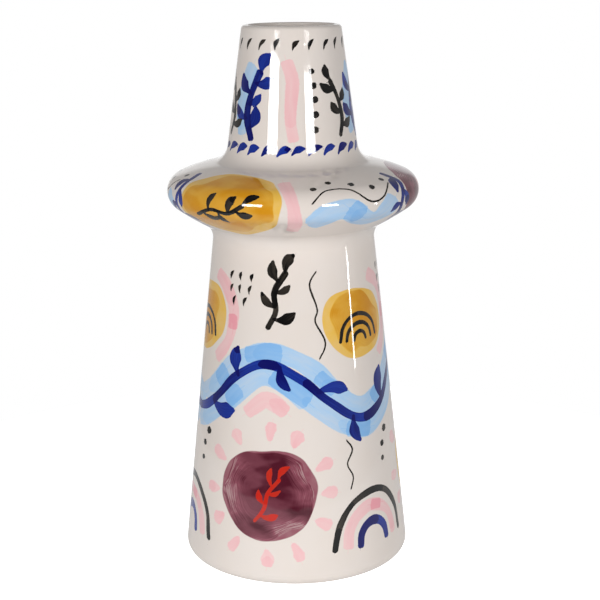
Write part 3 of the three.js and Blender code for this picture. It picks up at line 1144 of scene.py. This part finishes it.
# The camera, where the photograph was taken from
CAMERA_DISTANCE = 1.042
CAMERA_HEIGHT = 0.448
AIM_HEIGHT = 0.195
LENS = 85.1  # mm, on a sensor 36 mm wide
ROLL = -0.61  # degrees
IMAGE_SIZE = 600  # pixels
AXIS_OFFSET = 5.78  # pixels that the vase's axis stands left of the middle


def make_camera():
    data = bpy.data.cameras.new("camera")
    data.lens = LENS
    data.sensor_width = 36
    data.shift_x = AXIS_OFFSET / IMAGE_SIZE
    camera = added("camera", data)
    position = Vector((0, -CAMERA_DISTANCE, CAMERA_HEIGHT))
    forward = Vector((0, 0, AIM_HEIGHT)) - position
    turn = forward.to_track_quat("-Z", "Y").to_matrix().to_4x4()
    camera.matrix_world = Matrix.Translation(position) @ turn @ Matrix.Rotation(radians(ROLL), 4, "Z")
    bpy.context.scene.camera = camera


# Two upright light boxes in front with a slit above each, a thin one at the right, and a fill behind that
# reflections don't show: azimuth, bottom, top and width in degrees from the vase, and radiance
LIGHT_DISTANCE = 1.5
LIGHT_CENTRE = Vector((0, 0, 0.3))
BOXES = [
    ("left_box", -35.6, 1.5, 13.6, 17.8, 26.8),
    ("right_box", 32.2, 1.5, 12.6, 15.0, 25.2),
    ("left_top", -32.6, 14.95, 15.1, 13.0, 26.0),
    ("right_top", 32.0, 14.95, 15.1, 12.0, 26.0),
    ("side_strip", 76.8, -12.3, -4.6, 2.0, 26.0),
]
BACK_FILL = ("back_fill", 180.0, 0.0, 30.0, 40.0, 5.0)


def make_light(name, azimuth, low, high, width, radiance):
    """A light box that subtends given angles at the vase, with a given radiance."""
    elevation = radians((low + high) / 2)
    turn = radians(azimuth)
    away = cos(elevation)
    direction = Vector((sin(turn) * away, -cos(turn) * away, sin(elevation)))
    data = bpy.data.lights.new(name, "AREA")
    data.shape = "RECTANGLE"
    data.size = 2 * LIGHT_DISTANCE * tan(radians(width) / 2)
    data.size_y = 2 * LIGHT_DISTANCE * tan(radians(high - low) / 2)
    data.energy = pi * data.size * data.size_y * radiance
    light = added(name, data)
    light.location = LIGHT_CENTRE + LIGHT_DISTANCE * direction
    light.rotation_mode = "QUATERNION"
    light.rotation_quaternion = direction.to_track_quat("Z", "Y")
    light.visible_camera = False
    return light


# The studio round the vase: dark in front and overhead, and lit behind, at the sides and below
BACK_LEVEL = 0.44
RIGHT_LEVEL = 0.25
LEFT_LEVEL = 0.11
LOW_LEVEL = 0.18
BACKDROP_EDGE = (0.93, 0.97)


def make_world():
    """The studio's walls. The camera sees them white, and reflections see the backdrop white."""
    world = bpy.data.worlds.new("studio")
    bpy.context.scene.world = world
    world.use_nodes = True
    graph = Graph(world.node_tree)
    x, y, z = graph.output("Generated", "TexCoord").split()
    sides = (y * BACK_LEVEL, x * RIGHT_LEVEL, x * -LEFT_LEVEL, z * -LOW_LEVEL)
    back, right, left, low = [side.math("MAXIMUM") for side in sides]
    level = back + right + left + low
    rays = ("Is Camera Ray", "Is Glossy Ray", "Is Transmission Ray")
    camera, glossy, through = [graph.output(ray, "LightPath") for ray in rays]
    mirrored = glossy.math("MAXIMUM", through) * y.ramp(*BACKDROP_EDGE)
    strength = level + camera.math("MAXIMUM", mirrored) * (1.0 - level)
    background = graph.output(0, "Background", {"Color": (1, 1, 1, 1), "Strength": strength})
    graph.node("OutputWorld", {"Surface": background})


FLOOR_REACH = 0.42
FLOOR_SIDES = 96
TABLE_WHITE = 0.4
TABLE_GLOW = 0.35
SEEN_WHITE = 0.85
SEEN_GLOW = 0.78


def make_floor():
    """A white table lit from below. The camera sees it as white, with the vase's soft shadow."""
    angles = 2 * pi * np.arange(FLOOR_SIDES) / FLOOR_SIDES
    rim = np.stack([FLOOR_REACH * np.cos(angles), FLOOR_REACH * np.sin(angles), 0 * angles], axis=1)
    mesh = bpy.data.meshes.new("floor")
    mesh.from_pydata(rim.tolist(), [], [list(range(FLOOR_SIDES))])
    material, graph, position = new_material("floor")
    seen = graph.output("Is Camera Ray", "LightPath")
    inputs = {
        "Base Color": seen.mix((TABLE_WHITE,) * 3 + (1,), (SEEN_WHITE,) * 3 + (1,)),
        "Roughness": 0.9,
        "Specular IOR Level": 0.1,
        "Emission Color": (1, 1, 1, 1),
        "Emission Strength": seen * (SEEN_GLOW - TABLE_GLOW) + TABLE_GLOW,
    }
    graph.node("OutputMaterial", {"Surface": graph.output(0, "BsdfPrincipled", inputs)})
    mesh.materials.append(material)
    added("floor", mesh)


make_camera()
for box in BOXES:
    make_light(*box)
make_light(*BACK_FILL).visible_glossy = False
make_world()
make_floor()
bpy.context.scene.view_settings.view_transform = "Standard"
